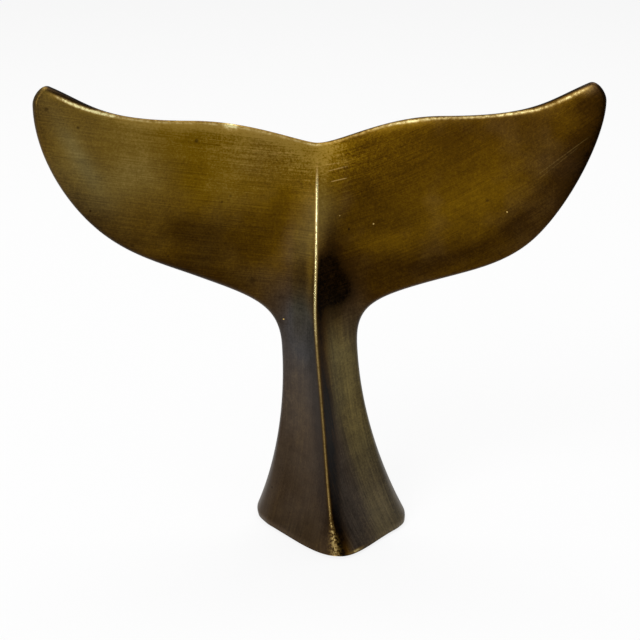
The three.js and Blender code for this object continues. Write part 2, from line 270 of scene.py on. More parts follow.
def bezier_slope(points, t):
    return (
        3 * (1 - t) ** 2 * (points[1] - points[0])
        + 6 * t * (1 - t) * (points[2] - points[1])
        + 3 * t**2 * (points[3] - points[2])
    )


# Tables of the stock's side and of the trailing edge, halfway between the differing sides
middle_knots = outline_knots(0)
rim_curve = bezier(curve_between(middle_knots[0], middle_knots[1]), TABLE_STEPS)
stock_curve = bezier(curve_between(middle_knots[1], middle_knots[2]), TABLE_STEPS)
stock_side = np.vstack([rim_curve, stock_curve[1:]])
outer_trailing = bezier(curve_between(middle_knots[6], middle_knots[7]), TABLE_STEPS)[::-1]
inner_trailing = bezier(curve_between(middle_knots[7], middle_knots[8]), TABLE_STEPS)[::-1]


def stock_half_width(height):
    return np.interp(height, stock_side[:, 1], stock_side[:, 0])


def trailing_height(out):
    outer = np.interp(out, outer_trailing[:, 0], outer_trailing[:, 1])
    inner = np.interp(out, inner_trailing[:, 0], inner_trailing[:, 1])
    return np.where(out > SHOULDER_OUT, outer, inner)


def ridge_rise(height):
    """How far a ridge stands out of the metal beside it."""
    left = np.maximum(0, 1 - (height - FOOT_HEIGHT) / (RIDGE_HEIGHT - FOOT_HEIGHT))
    return (FOOT_RIDGE - FOOT_EDGE) * left**RIDGE_FADE


def metal_thickness(out, side, height):
    """The metal's own thickness: the stock's, and the flukes' that thins to the trailing edge."""
    tip = TIP_THICKNESS + side * TIP_THICKNESS_DIFFERS
    stock = mix(FOOT_EDGE, STOCK_EDGE, ease(FOOT_HEIGHT, NECK_HEIGHT * STOCK_EDGE_SHARE, height))
    fluke = mix(ROOT_THICKNESS, tip, out / HALF_SPAN)
    whole = mix(stock, fluke, ease(NECK_HEIGHT * FLUKE_SHARE, ROOT_HEIGHT, height))
    thin = mix(TRAILING_THICKNESS, tip, (out / HALF_SPAN) ** TRAILING_POWER)
    near = np.exp(-np.maximum(0, trailing_height(out) - height) / TRAILING_TAPER)
    return np.where(height < NECK_HEIGHT, whole, mix(whole, thin, near))


def centre_line(height):
    """Sideways place of the stock's centre line at a height."""
    left = 1 - np.minimum(1, (height - FOOT_HEIGHT) / (LEAN_HEIGHT - FOOT_HEIGHT))
    return -STOCK_LEAN * (1 - left**LEAN_POWER)


def mid_surface(out, side, height):
    """Front-to-back place of the surface that the front and back faces lie on either side of."""
    up = np.maximum(0, (height - SWEEP_START) / (TIP_HEIGHT - SWEEP_START))
    twist = np.maximum(0, 1 - (height - FOOT_HEIGHT) / NECK_HEIGHT) ** 2
    forward = (FOOT_FORWARD + side * FOOT_SKEW) * (out / FOOT_HALF) * twist
    return FLUKE_SWEEP * up**2 - TIP_CURL * (out / HALF_SPAN) ** 2 - forward


def reach_at(height):
    return np.where(height < NECK_HEIGHT, stock_half_width(height), NECK_HALF)


def flank_share(out, side, height, nose):
    """The share of a ridge that is left beside it: 1 on the ridge, 0 at the stock's side."""

    def blunt(x):
        return np.hypot(x, nose) - nose

    foot = FOOT_HOLLOW + side * FLANK_DIFFERS
    power = mix(foot, FLUKE_HOLLOW, ease(FOOT_HEIGHT, ROOT_HEIGHT, height))
    return np.maximum(0, 1 - blunt(out) / blunt(reach_at(height))) ** power


def half_thickness(out, side, height, inward, rounding, band, power, nose):
    """Half the thickness at a place: the metal, the ridge's flank, and the rounded edge."""
    flank = ridge_rise(height) * flank_share(out, side, height, nose)
    metal = metal_thickness(out, side, height) + flank
    share = np.minimum(inward / band, 1 - TINY)
    rounded = np.maximum(np.sqrt(2 * rounding * inward) / (1 - share**2), TINY)
    soft = (metal**-power + rounded**-power) ** (-1 / power)
    return np.where(inward >= band, metal, np.where(inward <= 0, 0, soft))


def row_places(ridge, leaving, edge_point, inwards, band, turn):
    """The flat places of one row, which leaves the ridge in one direction, turns to meet the
    edge's band square and crosses it straight, and their distances inward from the outline."""
    band_start = edge_point + inwards * band
    length = np.linalg.norm(band_start - ridge)
    leaving_point = ridge + leaving * length * LEAVING_PULL
    path = np.array([ridge, leaving_point, band_start + inwards * turn, band_start])
    near = RIDGE_ROWS / length
    further = mix(near[-1], 1, (np.arange(1, FACE_ROWS) / FACE_ROWS) ** FACE_SPREAD)
    on_face = bezier(path, np.concatenate([near, further]))
    on_band = edge_point + inwards * (BAND_SHARES * band)[:, None]
    inward = np.concatenate([np.full(len(on_face), band), BAND_SHARES * band])
    return np.vstack([on_face, on_band]), inward


def surface_row(index, t, a, b, side, face):
    """One row of points from the ridge to the outline, on the front (-1) or the back (1). Each has
    its place (x, y, z), its distance out from the ridge, its distance in from the outline, and how
    far round the outline the row is, counted in knots."""
    ridge_height, turn, rounding, band, power = mix(a["row"], b["row"], t)
    curve = curve_between(a, b)
    slope = bezier_slope(curve, t)
    turning = math.atan2(slope[1], slope[0]) % (2 * math.pi)
    last = b["at"][0] == 0
    heading = mix(turning, math.pi, t) if last else turning
    leaving = heading_vector(t**2 * math.pi / 2 if last else 0)
    level = b["at"][1] <= NECK_HEIGHT
    inwards = np.array([-1.0, 0]) if level else np.array([-math.sin(heading), math.cos(heading)])
    ridge = np.array([0, ridge_height])
    flat, inward = row_places(ridge, leaving, bezier(curve, t), inwards, band, turn)
    out, height = flat[:, 0], flat[:, 1]
    nose = RIDGE_RADIUS + NOSE_RADIUS * math.exp((FOOT_HEIGHT - ridge_height) / NOSE_HEIGHT)
    thick = half_thickness(out, side, height, inward, rounding, band, power, nose)
    near_ridge = np.maximum(0, 1 - out / reach_at(height))
    stray = -RIDGE_STRAY * bump(height, STRAY_HEIGHT, STRAY_REACH)
    shift = NOSE_SHIFT * np.exp((FOOT_HEIGHT - height) / NOSE_SHIFT_HEIGHT) if face < 0 else 0
    x = side * out + centre_line(height) + (stray + shift) * near_ridge
    y = mid_surface(out, side, height) + face * thick
    run = np.linalg.norm(np.diff(flat, axis=0), axis=1)
    from_edge = np.concatenate([np.cumsum(run[::-1])[::-1], [0]])
    return np.column_stack([x, y, height, out, from_edge, np.full(len(flat), index + t)])


def surface_grid(side, face):
    """All rows of one side and face, from the foot to the notch."""
    knots = outline_knots(side)
    rows = [surface_row(0, 0, knots[0], knots[1], side, face)]
    for index, steps in enumerate(STEPS_BETWEEN_KNOTS):
        a, b = knots[index], knots[index + 1]
        for step in range(1, steps + 1):
            rows.append(surface_row(index, step / steps, a, b, side, face))
    return np.array(rows)


def hollow_grid(angles):
    """Rings of the hollow inside the stock, from the foot up to its closed top."""
    cos, sin = np.cos(angles), np.sin(angles)
    rings = []
    for level in range(HOLLOW_LEVELS + 1):
        share = level / HOLLOW_LEVELS
        height = mix(FOOT_HEIGHT, HOLLOW_HEIGHT, share)
        closing = math.sqrt(1 - share**CLOSING_POWER)
        half = (stock_half_width(height) - FOOT_WALL) * closing
        solid = metal_thickness(np.array(0.0), 0, height) + ridge_rise(height)
        depth = (solid - FOOT_WALL * RIDGE_WALL_SHARE) * closing
        x = half * np.sign(cos) * np.abs(cos) ** (2 * HOLLOW_POWER)
        y = depth * np.sign(sin) * np.abs(sin) ** (2 * HOLLOW_POWER)
        y = y + mid_surface(np.abs(x), np.sign(x), height)
        rings.append(np.column_stack([x + centre_line(height), y, np.full(len(x), height)]))
    return np.array(rings)


class Sheets:
    """Gathers grids of points into one mesh whose grids share their common edges."""

    def __init__(self):
        self.points = []
        self.quads = []
        self.count = 0

    def grid(self, points, turned):
        rows, columns = points.shape[:2]
        numbers = self.count + np.arange(rows * columns).reshape(rows, columns)
        a, b = numbers[:-1, :-1], numbers[:-1, 1:]
        c, d = numbers[1:, 1:], numbers[1:, :-1]
        order = (a, d, c, b) if turned else (a, b, c, d)
        self.quads.append(np.stack(order, -1).reshape(-1, 4))
        self.points.append(points.reshape(rows * columns, -1))
        self.count += rows * columns

    def joined(self):
        points, quads = np.vstack(self.points), np.vstack(self.quads)
        keys = np.round(points[:, :3] * JOIN_STEPS).astype(np.int64)
        _, first, same = np.unique(keys, axis=0, return_index=True, return_inverse=True)
        return points[first], same.reshape(-1)[quads]


def casting_points():
    """The casting's points and quads. A point's values are those of its row, its side (-1 left, 1
    right) and its face (-1 front, 1 back)."""
    sheets = Sheets()
    grids = {(side, face): surface_grid(side, face) for side in (-1, 1) for face in (-1, 1)}
    for (side, face), grid in grids.items():
        marks = np.broadcast_to(np.array([side, face], float), grid.shape[:2] + (2,))
        sheets.grid(np.concatenate([grid, marks], -1), side * face > 0)
    foot = {key: grid[0, :, :3] for key, grid in grids.items()}
    back = [foot[1, 1][::-1], foot[-1, 1][1:]]
    front = [foot[-1, -1][::-1][1:], foot[1, -1][1:]]
    loop = np.vstack(back + front)
    quarter = (len(loop) - 1) // 4
    angles = np.arange(len(loop)) / quarter * (math.pi / 2)
    inside = np.concatenate([loop[None], hollow_grid(angles)], 0)
    facts = np.zeros(inside.shape[:2] + (5,))
    facts[..., 0] = HOLLOW_OUT
    sheets.grid(np.concatenate([inside, facts], -1), False)
    return sheets.joined()


def add_object(name, data):
    thing = bpy.data.objects.new(name, data)
    scene.collection.objects.link(thing)
    return thing


def mesh_from(name, points, quads):
    """A mesh of quads and, where two corners of a quad are one, triangles."""
    faces = []
    for quad in quads.tolist():
        kept = [v for i, v in enumerate(quad) if v != quad[i - 1]]
        if len(set(kept)) > 2:
            faces.append(kept)
    mesh = bpy.data.meshes.new(name)
    mesh.from_pydata((points[:, :3] * MM).tolist(), [], faces)
    mesh.validate()
    mesh.shade_smooth()
    return mesh


points, quads = casting_points()
casting = add_object("bronze_tail", mesh_from("bronze_tail", points, quads))

# What the bronze follows. Each field below has one value for each point of the casting.
_, y, z, out, edge, around, side, face = points.T
front = face < 0
# Sideways from the ridge, as the front shows it. The back is patinated, and painted with light and
# shade, like a mirrored front.
across = np.where(front, 1, -1) * side * out
left = ease(1.5, -1.5, across)
right = 1 - left
on_stock = 1 - ease(54, 84, z + 0.9 * np.maximum(0, out - 11) * ease(50, 66, z))
leading = ease(2.5, 3.3, around) * (1 - ease(5.4, 5.8, around))
trailing = ease(5.75, 6.1, around)
arris = ease(5.97, 6.25, around)
# Painted shade: a dark wedge between the right ridge line and the olive edge of the stock's foot.
painted_shade = right * ease(-2.2, 2.2, 13.5 - 0.27 * z - out) * ease(50, 30, z)

# Patches where the metal is painted lighter or darker: partly patina and polish, partly
# painted light and shade. Each has its amount, its middle (across, height), its reach (across,
# up) and, where it leans, its lean in degrees.
LEFT_FLUKE_PATCHES = [
    (-0.1, -76, 131, 8, 6),
    (0.05, -70, 119, 3.5, 12, 28),
    (-0.08, -66, 128, 8, 4),
    (-0.05, -66, 118, 4, 7),
    (-0.06, -66, 114, 7, 12),
    (-0.06, -66, 101, 8, 5),
    (0.04, -52, 94, 12, 6),
    (0.05, -49, 91, 6, 4),
    (0.12, -45, 88, 9, 4),
    (-0.06, -42, 96, 6, 4),
    (-0.05, -42, 93, 8, 4),
    (-0.13, -40, 112, 9, 10),
    (0.06, -35, 107, 8, 4),
    (-0.1, -35, 95, 8, 6),
    (-0.06, -33, 90, 16, 6, 12),
    (0.05, -28, 84, 6, 3),
    (0.06, -22, 87, 9, 5),
    (0.05, -21, 104, 6, 4),
    (-0.05, -16, 108, 11, 12),
    (-0.06, -15, 113, 8, 4),
    (0.12, -15, 80, 7, 6),
    (-0.03, -13.6, 118, 6, 4),
    (0.07, -11, 87, 6, 4),
    (0.1, -11, 84, 5, 8),
    (0.05, -7, 119, 5, 3),
    (-0.1, -6, 100, 5, 9),
    (0.2, -5, 95, 4.5, 11),
    (-0.04, -4, 102, 3, 12),
    (-0.05, -4, 81.5, 4, 4),
]
RIGHT_FLUKE_PATCHES = [
    (0.13, 4, 116, 9, 7),
    (0.09, 4.5, 105, 2.6, 6),
    (-0.05, 4.5, 91.5, 3.5, 4),
    (-0.05, 9, 84, 9, 8),
    (-0.04, 11, 119, 6, 3),
    (-0.03, 11, 111, 7, 8),
    (-0.05, 11, 77, 6, 4),
    (-0.1, 12, 105, 7, 7),
    (-0.03, 12.4, 95, 6, 4),
    (-0.06, 17, 102, 9, 9),
    (-0.03, 18, 83, 14, 5),
    (0.18, 20, 90, 13, 5),
    (0.03, 20, 88, 6, 4),
    (-0.08, 27, 113, 12, 10),
    (-0.05, 27, 98, 9, 6),
    (-0.04, 32, 83, 7, 3),
    (-0.02, 33, 89, 7, 4),
    (0.05, 36, 93, 10, 4),
    (-0.06, 38, 123, 13, 6),
    (0.05, 38, 99, 10, 6),
    (-0.05, 39, 110, 7, 12),
    (-0.05, 46, 117, 12, 6),
    (0.04, 46, 103, 13, 7, 25),
    (-0.025, 47, 124, 7, 3),
    (-0.02, 47, 102, 7, 4),
    (0.03, 57, 92, 8, 3),
    (-0.08, 58, 96, 8, 6),
    (-0.04, 61, 100, 6, 5),
    (0.06, 61, 91, 9, 4),
    (0.03, 64, 106, 5, 5),
    (-0.05, 71, 106, 6, 7, 30),
    (0.1, 72, 128, 8, 5),
    (0.1, 75, 129, 6, 6),
    (-0.1, 77, 116, 4, 7),
    (0.22, 78.5, 137.5, 3.5, 2),
    (-0.08, 80, 121, 6, 14, -20),
]
# The hollow right of the front ridge is painted darkest: partly patina, partly painted shade.
HOLLOW_PATCHES = [
    (1, 3.6, 80, 3.4, 9.5),
    (0.5, 6.5, 76, 3.2, 6),
    (0.4, 8.5, 76, 2.5, 4),
]
# Along the trailing edges the metal is painted lighter in places: partly rubbed wear, partly a
# painted highlight along the rim.
RUBBED_AND_HIGHLIGHT_PATCHES = [
    (0.28, -33, 124, 26, 9),
    (0.3, -25.4, 124, 4, 4),
    (0.2, -14, 122, 14, 6),
    (0.26, 27, 126, 12, 8),
]
# Where a grey film and a painted sheen lie on the flukes' colour.
FILM_AND_SHEEN_PATCHES = [
    (0.34, -70, 119, 2.6, 12, 28),
    (0.1, -50, 112, 8, 8),
    (0.1, -16, 79, 7, 6),
    (0.24, -5, 88, 5, 9),
    (0.34, 0, 99, 6, 9),
    (0.3, 78, 138, 4, 2),
]
# Where casting grain and brush strokes are strong, and swing the tone wide as painted glitter: at
# the notch and on the left shoulder.
GRAINY_PATCHES = [
    (1, 2, 116, 19, 9),
    (0.5, -25, 122, 9, 6),
]

# Values by height: the painted shade in the line beside the ridge, the film and painted sheen on
# the stock's left, and the ridges' wear.
GROOVE = [(0, 0.6), (44, 0.6), (50, 0.36), (66, 0.28), (74, 0.35), (90, 0)]
LEFT_STOCK_FILM_AND_SHEEN = [(8, 0.38), (40, 0.54), (52, 0.68), (64, 1)]
RIDGE_WEAR = [
    (0, 0.25), (45, 0.27), (60, 0.36), (66, 0.72), (72, 1), (76, 1.05), (80, 0.92), (86, 0.96),
    (98, 1), (107, 1.15), (110, 0.55), (113, 0.15), (116, 0),
]
# Values across: how far in from the outline the trailing edges' arris runs, and how brightly it
# is painted: partly buffed wear, partly painted glints. Near the tips it runs inward of a dark
# facet that is leaf shaped.
ARRIS_INSETS = [
    (-80, 1), (-76, 1.4), (-71, 1.4), (-67, 1.05), (-63, 0.7), (-58, 0.5), (20, 0.5), (29, 0.7),
    (38, 0.5), (56, 0.5), (60, 0.65), (65, 1.05), (74, 1.1), (80, 0.95),
]
ARRIS_GLINTS = [
    (-81, 0.2), (-76, 1.4), (-63, 1.6), (-60, 1.2), (-57, 0.6), (-40, 0.4), (-28, 0.45),
    (-25.6, 1.4), (-23.5, 0.45), (-6, 0.4), (-2.6, 0.6), (-0.3, 0.8), (1.6, 0.35), (5, 0.4),
    (8, 0.25), (16, 0.4), (22, 0.7), (26, 1), (29, 1.1), (33, 0.8), (38, 0.5), (46, 0.6),
    (52, 0.75), (58, 0.9), (64, 0.7), (68, 0.4), (71, 0.5), (78, 1.8), (80.5, 0),
]


def smudge(middle, height, reach, rise, lean=0):
    """A soft patch: 1 at its middle. A lean above 0 turns it anticlockwise."""
    c, s = math.cos(math.radians(lean)), math.sin(math.radians(lean))
    dx, dz = across - middle, z - height
    along, beside = dx * c + dz * s, dz * c - dx * s
    return np.exp(-((along / reach) ** 2) - (beside / rise) ** 2)


def patches(rows):
    return sum(amount * smudge(*shape) for amount, *shape in rows)


def value_along(rows, place):
    """A value that changes evenly from each listed place to the next."""
    places, values = zip(*rows)
    return np.interp(place, places, values)


def fluke_tone():
    """The flukes lighten upwards, painted light as it falls from above, and darken outwards; patina
    and painted light and shade together.
    """
    left_tone = mix(0.36, 0.88, ease(78, 118, z)) - 0.015 * ease(106, 120, z)
    left_tone += patches(LEFT_FLUKE_PATCHES) - 0.07 * ease(55, 78, out)
    right_tone = mix(0.38, 0.64, ease(84, 104, z)) - 0.02 * ease(106, 118, z)
    right_tone -= 0.13 * ease(115, 128, z) * ease(16, 42, out) + 0.12 * ease(48, 68, out)
    right_tone += patches(RIGHT_FLUKE_PATCHES) + 0.18 * bump(out, 1.5, 1.7) * ease(84, 90, z)
    return mix(right_tone, left_tone, left)


def stock_tone():
    """Patina with painted light and shade: the right of the stock is lightest along its edge, a
    painted reflection, and the left is darker beside the ridge, painted shade. Both sides lighten
    at the foot's nose.
    """
    nose = bump(out, 0, 5)
    left_tone = 0.45 - 0.14 * bump(out, 1.8, 1.7) * ease(70, 62, z)
    left_tone += 0.08 * smudge(-7, 66, 4, 12) + 0.09 * bump(out, 7, 4) * bump(z, 38, 12)
    left_tone += 0.03 * bump(out, 7, 5) * bump(z, 28, 8) + 0.04 * ease(14, 3, z)
    left_tone += 0.02 * ease(36, 20, z) + 0.06 * nose * ease(9, 2, z)
    right_tone = 0.42 + 0.23 * bump(out, 12.5 - 0.09 * z, 4.5) * ease(74, 58, z) - 0.05 * painted_shade
    right_tone += 0.17 * ease(11, 18, out) * ease(24, 8, z)
    right_tone -= 0.04 * bump(out, 10, 3) * ease(30, 16, z)
    right_tone -= 0.12 * ease(8, 12.5, out) * ease(50, 64, z)
    right_tone -= 0.05 * bump(out, 13, 3) * bump(z, 40, 8) + 0.04 * bump(out, 9, 3) * bump(z, 63, 8)
    right_tone += (0.06 * bump(out, 5, 3) + 0.12 * nose) * ease(7, 3, z)
    return mix(right_tone, left_tone, left)


def painted_ridge_reflection():
    """The left of the ridge is painted lighter where the flukes run into the stock: a painted
    reflection.
    """
    return 0.34 * left * bump(out, 1.5, 1.6) * bump(z, 82, 10)


def hollow_dark():
    """Darkening in the hollow to the right of the front ridge, and in a line beside the ridge:
    partly patina, partly painted shade.
    """
    low = ease(52, 42, z)
    groove = bump(out, 1.3 + 0.4 * low, 1 + 0.4 * low) * right * value_along(GROOVE, z)
    return np.where(front, 0.54, 0.22) * np.minimum(patches(HOLLOW_PATCHES), 1) + groove


def leading_tone():
    """The leading edges are darkest at the very outline, most on the left and at the right tip:
    partly patina, partly painted shade where they face down. A rim along the right fluke's inner
    leading edge is painted lighter, a painted highlight.
    """
    outline = np.exp(-edge / 3)
    right_tone = 0.07 * bump(edge, 2.4, 2.2) * ease(62, 40, out)
    right_tone -= 0.1 * bump(edge, 8, 4) * ease(20, 34, out) + 0.32 * outline * ease(62, 74, out)
    return leading * mix(right_tone, -0.26 * outline, left)


def trailing_tone(rubbed_and_highlight, arris_in):
    """The trailing edges are painted light along the rim, partly rubbed wear and partly a painted
    highlight, but for the tips' facets and the outline itself; a painted glow lights the notch.
    """
    facet = front * ease(0.7, 0.95, arris_in) * ease(arris_in - 0.15, arris_in - 0.6, edge)
    outline = np.where(front, np.exp(-((edge / 0.22) ** 2)), np.exp(-((edge / 1.4) ** 4)))
    light = bump(edge, 1.1, 1.5) * rubbed_and_highlight - mix(0.12, 0.45, left) * facet - 0.5 * outline
    # A painted highlight: a glow of light at the notch
    return trailing * light + 0.43 * smudge(0, 118, 5.5, 3.6)


def film_and_sheen_amount():
    """How much of a grey film, partly a painted sheen of reflected light, lies on the colour."""
    on_fluke = (0.12 + 0.26 * ease(88, 108, z) - 0.14 * ease(112, 122, z)) * ease(36, 64, -across)
    on_fluke += 0.14 * ease(52, 76, across) * ease(126, 112, z) + patches(FILM_AND_SHEEN_PATCHES)
    right_film_and_sheen = (0.74 - 0.12 * painted_shade) * ease(0.8, 4.6, out - 2 * ease(12, 2, z))
    stock_film_and_sheen = mix(right_film_and_sheen, value_along(LEFT_STOCK_FILM_AND_SHEEN, z), left)
    film_and_sheen = np.clip(mix(on_fluke, stock_film_and_sheen, on_stock), 0, 1)
    return np.minimum(1, film_and_sheen + 0.8 * smudge(-5, 67, 4, 9))


def olive_share():
    """Where the film and painted sheen are olive: the outer left fluke and the right of the stock,
    and near the ridges. Elsewhere they are bluish."""
    on_fluke = np.maximum(left * ease(10, 30, out), ease(9, 6, out))
    stock_olive = right * (1 - 0.8 * painted_shade) * mix(0.5, 1, ease(8, 34, z))
    return mix(on_fluke, stock_olive, on_stock)


def worn_ridge():
    """How bright the ridges are worn. The wear widens at the foot."""
    reach = 0.28 + 0.95 * ease(12, 2, z) + 0.07 * bump(z, 96, 14)
    beside = across + 0.7 * np.exp(-z / 4) + 0.06 * ease(84, 94, z)
    return bump(np.where(front, beside, out), 0, reach) * value_along(RIDGE_WEAR, z)


def worn_and_glinting_edge(rubbed_and_highlight, arris_in):
    """How bright the trailing edges' arris is painted, partly buffed wear and partly painted
    glints,
    and two single painted glints: on the left shoulder and under the foot's right flank."""
    wear_and_glints = arris * front * bump(edge, arris_in, 0.34) * value_along(ARRIS_GLINTS, across)
    wear_and_glints += 0.35 * arris * ~front * bump(edge, 1.9, 0.4)
    wear_and_glints += 0.3 * trailing * front * bump(edge, 1, 1.2) * rubbed_and_highlight
    wear_and_glints += 0.8 * front * smudge(-25.6, 124.3, 1.5, 0.8)
    wear_and_glints += 0.6 * front * smudge(6.5, 1.3, 2, 0.3)
    return wear_and_glints


def strokes_across():
    """Distance across the brush strokes of the flukes. The brush swept outward and up on the right
    fluke, and nearly level on the left one."""
    return z - mix(1, 0.3, left) * (0.25 * np.abs(across) + 0.0035 * across**2)


def casting_fields():
    rubbed_and_highlight = patches(RUBBED_AND_HIGHLIGHT_PATCHES) + 0.1 * ease(56, 66, across)
    arris_in = value_along(ARRIS_INSETS, across)
    tone = mix(fluke_tone(), stock_tone(), on_stock) - hollow_dark() + painted_ridge_reflection()
    tone += leading_tone() + trailing_tone(rubbed_and_highlight, arris_in)
    grainy = patches(GRAINY_PATCHES)
    return {
        # How light the metal is, from black patina at 0 to rubbed brass at 1, with painted light
        # and shade added
        "tone": np.clip(tone, 0.02, 1),
        "film_and_sheen": film_and_sheen_amount(),
        "olive": olive_share(),
        "on_stock": on_stock,
        "front": front.astype(float),
        "stroke_across": strokes_across(),
        # On the stock the brush ran up and down, so the strokes spread as the foot flares
        "stock_across": 0.45 * (out - np.abs(y)) + 40 * (side > 0),
        # How strong the grain and the strokes are, strongest where they paint glitter
        "coarse": mix(0.85 + 1.5 * grainy, mix(0.8, 0.5, left), on_stock),
        "brushed": mix(mix(0.85, 1.15, left) + 2.2 * grainy, mix(1.4, 0.6, left), on_stock),
        "ridge_wear": worn_ridge(),
        "edge_wear_and_glints": worn_and_glinting_edge(rubbed_and_highlight, arris_in),
        # Where the ridge's wear is broken by pits, at the foot
        "pitted": front * ease(17, 6, z) * ease(6, 3, out),
    }


for name, values in casting_fields().items():
    layer = casting.data.attributes.new(name, "FLOAT", "POINT")
    layer.data.foreach_set("value", values.astype(np.float32))


# Noises that break up the bronze: cells in a metre, octaves and roughness
CLOUD = (42, 3, 0.55)
MOTTLE = (260, 4, 0.62)
GRAIN = (1500, 2, 0.6)
DUST = (3200, 2, 0.6)
WORN = (900, 3, 0.65)
# Brush strokes: length and width in millimetres, a shift that makes them differ, and octaves.
FLUKE_STROKES = (16, 0.34, 0, 4)
FLUKE_SWATHES = (45, 2.4, 5, 3)
STOCK_STROKES = (20, 0.5, 9, 4)
STROKE_ROUGHNESS = 0.6
FACE_SHIFT = 37  # makes the strokes of the front differ from those of the back

# Colours by tone, as they are seen on screen: the bare metal's, and the two kinds of the film and
# painted sheen.
METAL_TONES = [
    (0, (9, 4, 1)),
    (0.33, (52, 32, 4)),
    (0.5, (75, 51, 6)),
    (0.65, (98, 70, 8)),
    (0.8, (120, 90, 11)),
    (1, (152, 122, 48)),
]
FILM_AND_SHEEN_TONES = [
    (0, (9, 8, 9)),
    (0.33, (48, 45, 43)),
    (0.5, (72, 69, 68)),
    (0.8, (120, 110, 96)),
    (1, (150, 137, 116)),
]
OLIVE_TONES = [
    (0, (9, 8, 5)),
    (0.33, (50, 46, 32)),
    (0.5, (75, 69, 48)),
    (0.8, (120, 110, 72)),
    (1, (150, 138, 92)),
]
PIT_COLOUR = (42, 27, 8)
SCRATCH_COLOUR = (226, 190, 110)
# Pale colours of bare brass: the worn ridges and edges, and the edges' painted glints
THIN_SHINE = (224, 176, 84)
FULL_SHINE = (255, 243, 178)

# Casting pits and bright specks on the front: across, height and radius, in millimetres.
PITS = [
    (-40, 120.7, 0.42),
    (-30.1, 104.5, 0.4),
    (-32.6, 102.9, 0.28),
    (-59.2, 91.2, 0.45),
    (-23.8, 79, 0.8),
    (-82.5, 132.1, 0.4),
    (-74, 126.2, 0.38),
    (-48.8, 87.4, 0.35),
    (50, 88.6, 0.4),
    (46, 104, 0.35),
]
BRIGHT_SPECKS = [
    (12.5, 96, 0.3),
    (-14.6, 66.6, 0.3),
    (2.4, 98.4, 0.2),
    (51.8, 101, 0.22),
]
# Scratches: where each starts (across, height), its length, its angle in degrees, its strength.
SCRATCHES = [
    (-1.6, 111.2, 7, 14, 0.3),
    (-0.6, 108.2, 5.6, 13, 0.4),
    (-2.2, 113, 5, 9, 0.22),
    (-18.5, 116.4, 8, 3, 0.14),
    (58.7, 111, 22, 40, 0.06),
    (60.4, 111, 16, 42, 0.045),
]

# How much noises and strokes change the tone, and how much clouds change the film and sheen
CLOUD_AMOUNT = 0.2
MOTTLE_AMOUNT = 0.2
GRAIN_AMOUNT = 0.34
DUST_AMOUNT = 0.24
STROKE_AMOUNT = 0.34
SWATHE_AMOUNT = 0.1
FILM_AND_SHEEN_CLOUDS = 0.5

# Pits and pinholes. A pit's core and rim are shares of its radius.
PIT_CORE = 0.4
PIT_RIM = 1.8
PIT_DARKEST = 0.4  # what a pit's core leaves of the sound metal's colour
PIT_RAGGEDNESS = 0.9  # millimetres
PINHOLE_CELLS = 170  # in a metre
PINHOLE_CORE = 0.03  # of a cell's width
PINHOLE_RIM = 0.09
PINHOLE_CHANCE = (0.8, 0.86)  # a cell whose random value passes these has one
SCRATCH_CORE = 0.04  # millimetres from a scratch's middle line
SCRATCH_RIM = 0.2
SCRATCH_FADE = 0.3  # share of its length, from its middle, at which it starts to fade
SPECK_CORE = 0.5  # of a speck's radius

# How noise breaks up marks and wear: its low and its high value, and what is left at each
SCRATCH_BREAKS = (0.3, 0.6, 0.4, 1.1)
RIDGE_BREAKS = (0.2, 0.6, 0.6, 1.1)
FOOT_BREAKS = (0.42, 0.58, 0.1, 1.6)
EDGE_BREAKS = (0.3, 0.7, 0.35, 1.25)

# The metal's fine relief, made of shares of what is drawn on it, and its roughness
STROKE_RELIEF = 0.5
MOTTLE_RELIEF = 0.35
GRAIN_RELIEF = 0.15
DENT_RELIEF = 0.8
RELIEF_STRENGTH = 0.35
RELIEF_DEPTH = 0.12 * MM
ROUGHNESS = 0.42
STROKE_ROUGHENS = 0.16
FILM_AND_SHEEN_ROUGHENS = 0.08
WEAR_SMOOTHS = 0.25

# Plaster, felt and floor
PLASTER_CLOUD = (90, 5, 0.6)
PLASTER_CELLS = 420  # in a metre
PLASTER_DARK = (214, 208, 194)
PLASTER_LIGHT = (232, 228, 218)
HOLE_COLOUR = (170, 164, 150)
FIBRE = (2600, 3, 0.7)
TUFT = (500, 3, 0.6)
FELT_DARK = (38, 29, 22)
FELT_LIGHT = (74, 60, 46)
WHITE = (1, 1, 1, 1)
FLOOR_COLOUR = (0.85, 0.85, 0.85, 1)
GLOW_SHARE = 0.85  # how much of the floor, as it is seen, glows by itself


def linear(red, green, blue):
    """A colour written as it is seen on screen, 0 to 255, turned to the light that it sends."""

    def one(v):
        v /= 255
        return v / 12.92 if v <= 0.04045 else ((v + 0.055) / 1.055) ** 2.4

    return (one(red), one(green), one(blue), 1)


